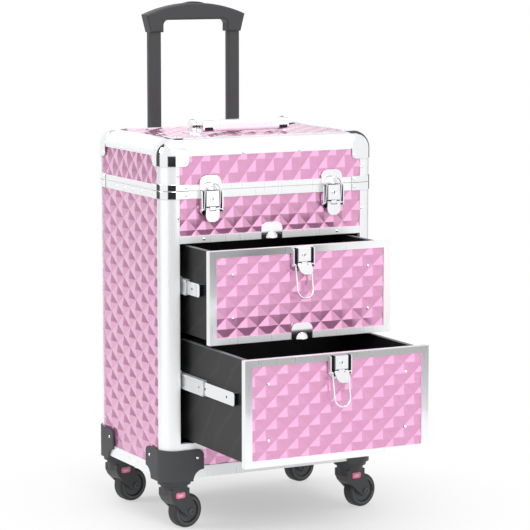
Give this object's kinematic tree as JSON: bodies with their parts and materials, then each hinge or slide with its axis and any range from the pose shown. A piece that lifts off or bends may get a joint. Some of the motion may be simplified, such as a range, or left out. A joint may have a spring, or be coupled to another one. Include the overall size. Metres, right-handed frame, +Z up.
{
  "type": "makeup train case",
  "caption": "Tall aluminium-framed make-up trolley case with embossed pink panels, lidded top compartment, drawers on slides, tow handle and swivel casters.",
  "frame": {"origin": "on the floor under the middle of the case", "axes": "+X to the right seen from the front, +Y to the back, +Z up"},
  "size_m": [0.3631, 0.4884, 0.75],
  "materials": {
    "pink_skin": "glossy embossed pink ABS skin",
    "satin_aluminium": "satin anodised",
    "chrome": "bright plated steel",
    "zinc_steel": "bright zinc",
    "black_board": "board lined in black",
    "dark_plastic": "fine moulded grain",
    "dark_tube": "dark grey powder coat",
    "wheel_rubber": "smooth tread",
    "pink_button": "glossy"
  },
  "bodies": {
    "case": {"side_panels": "pink_skin", "back_panel": "pink_skin", "base_panel": "black_board", "front_panels": "pink_skin", "tray_floor": "black_board", "corner_posts": "satin_aluminium", "case_rails": "satin_aluminium", "case_corner_braces": "chrome", "case_rivets": "chrome", "hinge_case_leaves": "chrome", "slide_battens": "black_board", "slide_case_members": "zinc_steel", "case_latch_parts": "chrome", "trolley_outer_tubes": "dark_tube", "trolley_brackets": "dark_plastic", "caster_brackets": "dark_plastic"},
    "lid": {"lid_top_panel": "pink_skin", "lid_wall_panels": "pink_skin", "lid_rails": "satin_aluminium", "lid_corner_posts": "satin_aluminium", "lid_corner_plates": "chrome", "lid_rivets": "chrome", "hinge_lid_leaves": "chrome", "lid_catches": "chrome", "carry_handle_brackets": "chrome"},
    "carry_handle": {"carry_grip": "satin_aluminium", "carry_arms": "chrome"},
    "left_lid_lever": {"left_lid_latch_lever": "chrome"},
    "left_lid_loop": {"left_lid_latch_loop": "chrome"},
    "right_lid_lever": {"right_lid_latch_lever": "chrome"},
    "right_lid_loop": {"right_lid_latch_loop": "chrome"},
    "top_drawer": {"top_drawer_front_panel": "pink_skin", "top_drawer_front_frame": "satin_aluminium", "top_drawer_box": "black_board", "top_drawer_fittings": "chrome"},
    "top_carriers": {"top_drawer_slide_carriers": "zinc_steel"},
    "top_lever": {"top_drawer_latch_lever": "chrome"},
    "top_loop": {"top_drawer_latch_loop": "chrome"},
    "bottom_drawer": {"bottom_drawer_front_panel": "pink_skin", "bottom_drawer_front_frame": "satin_aluminium", "bottom_drawer_box": "black_board", "bottom_drawer_fittings": "chrome"},
    "bottom_carriers": {"bottom_drawer_slide_carriers": "zinc_steel"},
    "bottom_lever": {"bottom_drawer_latch_lever": "chrome"},
    "bottom_loop": {"bottom_drawer_latch_loop": "chrome"},
    "tow_handle": {"tow_tubes": "dark_tube", "tow_grip": "dark_plastic"},
    "tow_button": {"tow_button": "dark_plastic"},
    "front_left_caster": {"front_left_fork": "dark_plastic"},
    "front_left_wheel": {"front_left_wheel": "wheel_rubber"},
    "front_left_release": {"front_left_release": "pink_button"},
    "front_right_caster": {"front_right_fork": "dark_plastic"},
    "front_right_wheel": {"front_right_wheel": "wheel_rubber"},
    "front_right_release": {"front_right_release": "pink_button"},
    "back_left_caster": {"back_left_fork": "dark_plastic"},
    "back_left_wheel": {"back_left_wheel": "wheel_rubber"},
    "back_left_release": {"back_left_release": "pink_button"},
    "back_right_caster": {"back_right_fork": "dark_plastic"},
    "back_right_wheel": {"back_right_wheel": "wheel_rubber"},
    "back_right_release": {"back_right_release": "pink_button"}
  },
  "joints": [
    {"name": "lid_hinge", "type": "hinge", "parent": "case", "child": "lid", "pos_m": [0, 0.1249, 0.4914], "axis": [-1, 0, 0], "range_deg": [0, 9]},
    {"name": "carry_handle_swing", "type": "hinge", "parent": "lid", "child": "carry_handle", "pos_m": [0, -0.01, 0.5748], "axis": [-1, 0, 0], "range_deg": [0, 90]},
    {"name": "left_lid_lever_swing", "type": "hinge", "parent": "case", "child": "left_lid_lever", "pos_m": [-0.098, -0.1274, 0.465], "axis": [-1, 0, 0], "range_deg": [0, 75]},
    {"name": "left_lid_loop_swing", "type": "hinge", "parent": "case", "child": "left_lid_loop", "pos_m": [-0.098, -0.126, 0.464], "axis": [1, 0, 0], "range_deg": [0, 165]},
    {"name": "right_lid_lever_swing", "type": "hinge", "parent": "case", "child": "right_lid_lever", "pos_m": [0.098, -0.1274, 0.465], "axis": [-1, 0, 0], "range_deg": [0, 75]},
    {"name": "right_lid_loop_swing", "type": "hinge", "parent": "case", "child": "right_lid_loop", "pos_m": [0.098, -0.126, 0.464], "axis": [1, 0, 0], "range_deg": [0, 165]},
    {"name": "top_drawer_slide", "type": "slide", "parent": "case", "child": "top_drawer", "axis": [0, -1, 0], "range_m": [-0.0925, 0.1085]},
    {"name": "top_carrier_slide", "type": "slide", "parent": "case", "child": "top_carriers", "axis": [0, -1, 0], "range_m": [-0.04625, 0.05425]},
    {"name": "bottom_drawer_slide", "type": "slide", "parent": "case", "child": "bottom_drawer", "axis": [0, -1, 0], "range_m": [-0.201, 0]},
    {"name": "bottom_carrier_slide", "type": "slide", "parent": "case", "child": "bottom_carriers", "axis": [0, -1, 0], "range_m": [-0.1005, 0]},
    {"name": "top_lever_swing", "type": "hinge", "parent": "top_drawer", "child": "top_lever", "pos_m": [0, -0.2199, 0.3917], "axis": [-1, 0, 0], "range_deg": [-35, 45]},
    {"name": "top_loop_swing", "type": "hinge", "parent": "top_drawer", "child": "top_loop", "pos_m": [0, -0.2185, 0.3907], "axis": [-1, 0, 0], "range_deg": [0, 160]},
    {"name": "bottom_lever_swing", "type": "hinge", "parent": "bottom_drawer", "child": "bottom_lever", "pos_m": [0, -0.3284, 0.2553], "axis": [-1, 0, 0], "range_deg": [-35, 45]},
    {"name": "bottom_loop_swing", "type": "hinge", "parent": "bottom_drawer", "child": "bottom_loop", "pos_m": [0, -0.327, 0.2543], "axis": [-1, 0, 0], "range_deg": [0, 160]},
    {"name": "tow_handle_slide", "type": "slide", "parent": "case", "child": "tow_handle", "axis": [0, 0, 1], "range_m": [-0.262, 0]},
    {"name": "tow_button_press", "type": "slide", "parent": "tow_handle", "child": "tow_button", "axis": [0, 0, -1], "range_m": [0, 0.004], "stiffness_N_per_m": 400, "springref_m": -0.002},
    {"name": "front_left_swivel", "type": "hinge", "parent": "case", "child": "front_left_caster", "pos_m": [-0.145, -0.096, 0.0606], "axis": [0, 0, 1], "continuous": true},
    {"name": "front_left_wheel_spin", "type": "hinge", "parent": "front_left_caster", "child": "front_left_wheel", "pos_m": [-0.12638, -0.09221, 0.025], "axis": [-0.1994, 0.9799, 0], "continuous": true},
    {"name": "front_left_release_press", "type": "slide", "parent": "front_left_caster", "child": "front_left_release", "axis": [-0.1994, 0.9799, 0], "range_m": [0, 0.0015], "stiffness_N_per_m": 800, "springref_m": -0.001},
    {"name": "front_right_swivel", "type": "hinge", "parent": "case", "child": "front_right_caster", "pos_m": [0.145, -0.096, 0.0606], "axis": [0, 0, 1], "continuous": true},
    {"name": "front_right_wheel_spin", "type": "hinge", "parent": "front_right_caster", "child": "front_right_wheel", "pos_m": [0.16362, -0.09221, 0.025], "axis": [-0.1994, 0.9799, 0], "continuous": true},
    {"name": "front_right_release_press", "type": "slide", "parent": "front_right_caster", "child": "front_right_release", "axis": [-0.1994, 0.9799, 0], "range_m": [0, 0.0015], "stiffness_N_per_m": 800, "springref_m": -0.001},
    {"name": "back_left_swivel", "type": "hinge", "parent": "case", "child": "back_left_caster", "pos_m": [-0.145, 0.096, 0.0606], "axis": [0, 0, 1], "continuous": true},
    {"name": "back_left_wheel_spin", "type": "hinge", "parent": "back_left_caster", "child": "back_left_wheel", "pos_m": [-0.12638, 0.09979, 0.025], "axis": [-0.1994, 0.9799, 0], "continuous": true},
    {"name": "back_left_release_press", "type": "slide", "parent": "back_left_caster", "child": "back_left_release", "axis": [-0.1994, 0.9799, 0], "range_m": [0, 0.0015], "stiffness_N_per_m": 800, "springref_m": -0.001},
    {"name": "back_right_swivel", "type": "hinge", "parent": "case", "child": "back_right_caster", "pos_m": [0.145, 0.096, 0.0606], "axis": [0, 0, 1], "continuous": true},
    {"name": "back_right_wheel_spin", "type": "hinge", "parent": "back_right_caster", "child": "back_right_wheel", "pos_m": [0.16362, 0.09979, 0.025], "axis": [-0.1994, 0.9799, 0], "continuous": true},
    {"name": "back_right_release_press", "type": "slide", "parent": "back_right_caster", "child": "back_right_release", "axis": [-0.1994, 0.9799, 0], "range_m": [0, 0.0015], "stiffness_N_per_m": 800, "springref_m": -0.001}
  ],
  "couplings": [
    {"joint": "top_carrier_slide", "follows": "top_drawer_slide", "ratio": 0.5},
    {"joint": "bottom_carrier_slide", "follows": "bottom_drawer_slide", "ratio": 0.5}
  ]
}
